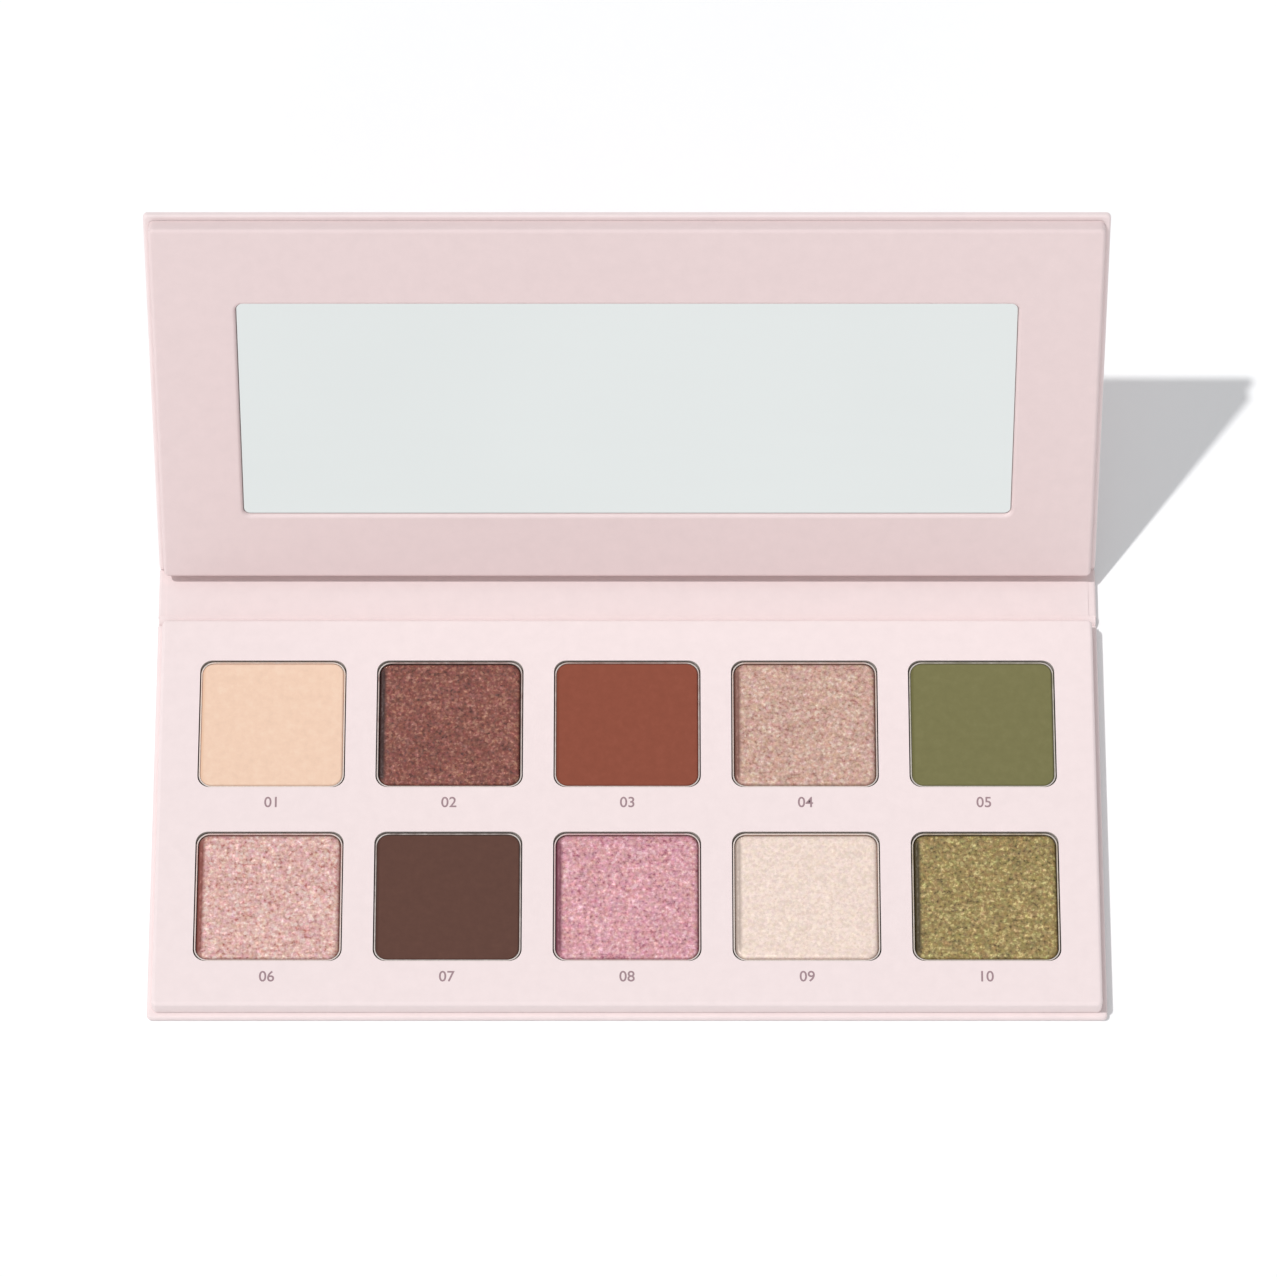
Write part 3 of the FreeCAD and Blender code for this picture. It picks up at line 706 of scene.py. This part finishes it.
def printed_number(text, height, centre):
    """A number as a thin closed mesh, its middle at the given point."""
    curve = bpy.data.curves.new("number", "FONT")
    curve.body = text
    curve.extrude = 0.5
    curve.offset = 0.01
    curve.resolution_u = 6
    holder = bpy.data.objects.new("number", curve)
    mesh = bpy.data.meshes.new_from_object(holder)
    bm = bmesh.new()
    bm.from_mesh(mesh)
    bpy.data.objects.remove(holder)
    bpy.data.curves.remove(curve)
    bpy.data.meshes.remove(mesh)
    bmesh.ops.remove_doubles(bm, verts=bm.verts, dist=1e-5)
    xs = [vert.co.x for vert in bm.verts]
    ys = [vert.co.y for vert in bm.verts]
    scale = height / (max(ys) - min(ys))
    bmesh.ops.translate(bm, vec=(-(min(xs) + max(xs)) / 2, -(min(ys) + max(ys)) / 2, 0), verts=bm.verts)
    bmesh.ops.scale(bm, vec=(scale, scale, INK_FILM), verts=bm.verts)
    bmesh.ops.recalc_face_normals(bm, faces=bm.faces)
    bmesh.ops.translate(bm, vec=centre, verts=bm.verts)
    return bm


def hang_sun(name, strength, spread, shining):
    """A distant light of that spread, shining along a direction."""
    light = bpy.data.lights.new(name, "SUN")
    light.energy = strength
    light.angle = spread
    lamp = bpy.data.objects.new(name, light)
    lamp.rotation_euler = Vector(shining).to_track_quat("-Z", "Y").to_euler()
    bpy.context.scene.collection.objects.link(lamp)


def lay_floor(scene, colour):
    """A wide sheet of background paper under the palette."""
    bm = bmesh.new()
    bmesh.ops.create_grid(bm, x_segments=8, y_segments=8, size=FLOOR_REACH)
    floor_mesh = bpy.data.meshes.new("studio_floor")
    bm.to_mesh(floor_mesh)
    bm.free()
    floor_mesh.materials.append(studio_floor("background_paper_rolled", colour))
    floor = bpy.data.objects.new("studio_floor", floor_mesh)
    scene.collection.objects.link(floor)


def light_all_round(scene, colour, strength):
    """An even light from the whole world, shown without a film's tones."""
    world = bpy.data.worlds.new("studio_white")
    world.use_nodes = True
    background = world.node_tree.nodes["Background"]
    background.inputs["Color"].default_value = (*colour, 1)
    background.inputs["Strength"].default_value = strength
    scene.world = world
    scene.view_settings.view_transform = "Standard"


def set_camera(scene, studio):
    """A camera in front of the palette, looking down at its target."""
    camera_data = bpy.data.cameras.new("camera")
    camera_data.lens = studio.camera_lens
    camera_data.sensor_width = 36
    camera_data.clip_end = 20
    camera = bpy.data.objects.new("camera", camera_data)
    tilt = studio.camera_elevation
    ahead = Vector((0, math.cos(tilt), -math.sin(tilt)))
    camera.location = Vector(studio.camera_target) - ahead * studio.camera_distance
    camera.rotation_euler = (math.pi / 2 - tilt, 0, 0)
    scene.collection.objects.link(camera)
    scene.camera = camera


# Operators, one for each group of like pieces

class PALETTE_OT_boards(bpy.types.Operator):
    """Dress the grey boards of the case, the tray and the mirror frame"""
    bl_idname = "palette.boards"
    bl_label = "Boards"

    def execute(self, context):
        looks = context.scene.palette_looks
        dress(
            raw_grey_board("grey_board_die_cut", looks.board_colour),
            "base_board", "spine_board", "lid_board", "tray_board", "mirror_frame_board")
        return {"FINISHED"}


class PALETTE_OT_papers(bpy.types.Operator):
    """Dress the printed papers of the case, the tray and the mirror frame"""
    bl_idname = "palette.papers"
    bl_label = "Papers"

    def execute(self, context):
        looks = context.scene.palette_looks
        dress(
            matt_laminated_paper("art_paper_matt_laminated_case", looks.case_colour),
            "base_cover_paper", "spine_cover_paper", "lid_cover_paper",
            "base_lining", "spine_lining", "lid_lining")
        dress(matt_laminated_paper("art_paper_matt_laminated_tray", looks.tray_colour), "tray_cover_paper")
        # The frame's paper is the case paper darkened as painted shade.
        dress(
            matt_laminated_paper("art_paper_matt_laminated_frame_shaded", looks.frame_colour_shaded), "mirror_frame_paper")
        return {"FINISHED"}


class PALETTE_OT_folds(bpy.types.Operator):
    """Bend the cover paper and the lining at the two creases"""
    bl_idname = "palette.folds"
    bl_label = "Folds"

    def execute(self, context):
        looks = context.scene.palette_looks
        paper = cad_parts["spine_cover_paper"].data.materials[0]
        creases = find_the_creases(looks.fold_width / 2)
        fold_the_cover(looks, paper, creases)
        fold_the_lining(looks, paper, creases)
        return {"FINISHED"}


class PALETTE_OT_pans(bpy.types.Operator):
    """Dress the ten drawn pans and the glue under them"""
    bl_idname = "palette.pans"
    bl_label = "Pans"

    def execute(self, context):
        for number, shade in zip(NUMBERS, context.scene.palette_looks.shades):
            pan = f"pan_{number:02d}"
            low, high = (Vector(corner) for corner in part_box(pan))
            dress(drawn_tinplate(f"tinplate_deep_drawn_{number:02d}", shade.body, low, high), pan)
        dress(hot_melt_glue("hot_melt_glue_set"), "pan_glue_dots")
        return {"FINISHED"}


class PALETTE_OT_powders(bpy.types.Operator):
    """Press the ten powders into their pans"""
    bl_idname = "palette.powders"
    bl_label = "Powders"

    def execute(self, context):
        looks = context.scene.palette_looks
        for number, shade in zip(NUMBERS, looks.shades):
            node_name = f"powder_{number:02d}"
            low, high = (Vector(corner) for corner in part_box(node_name))
            if shade.shimmer:
                material = pressed_shimmer_powder(f"mica_powder_pressed_{number:02d}", shade)
                edge_radius, relief = looks.shimmer_edge, shimmer_relief
            else:
                material = pressed_matte_powder(f"talc_powder_pressed_{number:02d}", shade)
                edge_radius, relief = looks.matte_edge, matte_relief
            bm = pressed_cake(low, high, looks, edge_radius, relief, SEED_STEP * number)
            piece = new_piece(f"pressed_cake_{number:02d}", bm, material)
            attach(piece, "base")
            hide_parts(node_name)
        return {"FINISHED"}


class PALETTE_OT_numbers(bpy.types.Operator):
    """Print a plain number in front of each pan"""
    bl_idname = "palette.numbers"
    bl_label = "Numbers"

    def execute(self, context):
        looks = context.scene.palette_looks
        ink = offset_ink("printing_ink_offset", looks.ink_colour)
        tray_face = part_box("tray_cover_paper")[1][2]
        for number in NUMBERS:
            low, high = (Vector(corner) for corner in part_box(f"pan_{number:02d}"))
            centre = ((low.x + high.x) / 2, low.y - looks.number_drop, tray_face + INK_FILM / 2)
            bm = printed_number(f"{number:02d}", looks.number_height, centre)
            piece = new_piece(f"printed_number_{number:02d}", bm, ink)
            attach(piece, "base")
        return {"FINISHED"}


class PALETTE_OT_mirror(bpy.types.Operator):
    """Dress the mirror and the tape behind it"""
    bl_idname = "palette.mirror"
    bl_label = "Mirror"

    def execute(self, context):
        looks = context.scene.palette_looks
        dress(silvered_glass("float_glass_silvered", looks.mirror_tint), "mirror")
        dress(foam_tape("foam_tape_closed_cell"), "mirror_tape")
        return {"FINISHED"}


class PALETTE_OT_magnets(bpy.types.Operator):
    """Dress the magnets hidden in the tray and the mirror frame"""
    bl_idname = "palette.magnets"
    bl_label = "Magnets"

    def execute(self, context):
        dress(nickel_plate("nickel_barrel_plated"), "tray_magnets", "lid_magnets")
        return {"FINISHED"}


class PALETTE_OT_stage(bpy.types.Operator):
    """Lay the floor, hang the lights and set the camera"""
    bl_idname = "palette.stage"
    bl_label = "Stage"

    def execute(self, context):
        scene = context.scene
        studio = scene.palette_studio
        lay_floor(scene, studio.floor_colour)
        hang_sun("key_from_left", studio.key_strength, studio.key_spread, studio.key_direction)
        hang_sun("fill_from_front", studio.front_strength, studio.front_spread, studio.front_direction)
        light_all_round(scene, studio.fill_colour, studio.fill_strength)
        set_camera(scene, studio)
        return {"FINISHED"}


OPERATORS = (
    PALETTE_OT_boards, PALETTE_OT_papers, PALETTE_OT_folds, PALETTE_OT_pans, PALETTE_OT_powders,
    PALETTE_OT_numbers, PALETTE_OT_mirror, PALETTE_OT_magnets, PALETTE_OT_stage,
)


class PALETTE_PT_sidebar(bpy.types.Panel):
    """Sizes, colours and steps of the palette"""
    bl_idname = "PALETTE_PT_sidebar"
    bl_label = "Eyeshadow Palette"
    bl_space_type = "VIEW_3D"
    bl_region_type = "UI"
    bl_category = "Palette"

    def draw(self, context):
        for operator in OPERATORS:
            self.layout.operator(operator.bl_idname)
        for group in (context.scene.palette_looks, context.scene.palette_studio):
            box = self.layout.box()
            for name in group.bl_rna.properties.keys():
                if name not in {"rna_type", "name", "shades"}:
                    box.prop(group, name)
        for number, shade in zip(NUMBERS, context.scene.palette_looks.shades):
            row = self.layout.row(align=True)
            row.label(text=f"{number:02d}")
            for name in ("shimmer", "body", "deep", "flake"):
                row.prop(shade, name, text="")


CLASSES = (PaletteShade, PaletteLooks, PaletteStudio, *OPERATORS, PALETTE_PT_sidebar)


def register():
    for item in CLASSES:
        bpy.utils.register_class(item)
    bpy.types.Scene.palette_looks = PointerProperty(type=PaletteLooks)
    bpy.types.Scene.palette_studio = PointerProperty(type=PaletteStudio)


def unregister():
    del bpy.types.Scene.palette_studio
    del bpy.types.Scene.palette_looks
    for item in reversed(CLASSES):
        bpy.utils.unregister_class(item)


def mix_the_shades(looks):
    """Fills the list of powders with the colours of this palette."""
    looks.shades.clear()
    for shimmer, body, deep, flake in SHADES:
        shade = looks.shades.add()
        shade.shimmer = shimmer
        shade.body = linear(body)
        shade.deep = linear(deep)
        shade.flake = linear(flake)


def main():
    register()
    mix_the_shades(bpy.context.scene.palette_looks)
    bpy.ops.palette.boards()
    bpy.ops.palette.papers()
    bpy.ops.palette.folds()
    bpy.ops.palette.pans()
    bpy.ops.palette.powders()
    bpy.ops.palette.numbers()
    bpy.ops.palette.mirror()
    bpy.ops.palette.magnets()
    bpy.ops.palette.stage()


if __name__ == "__main__":
    main()
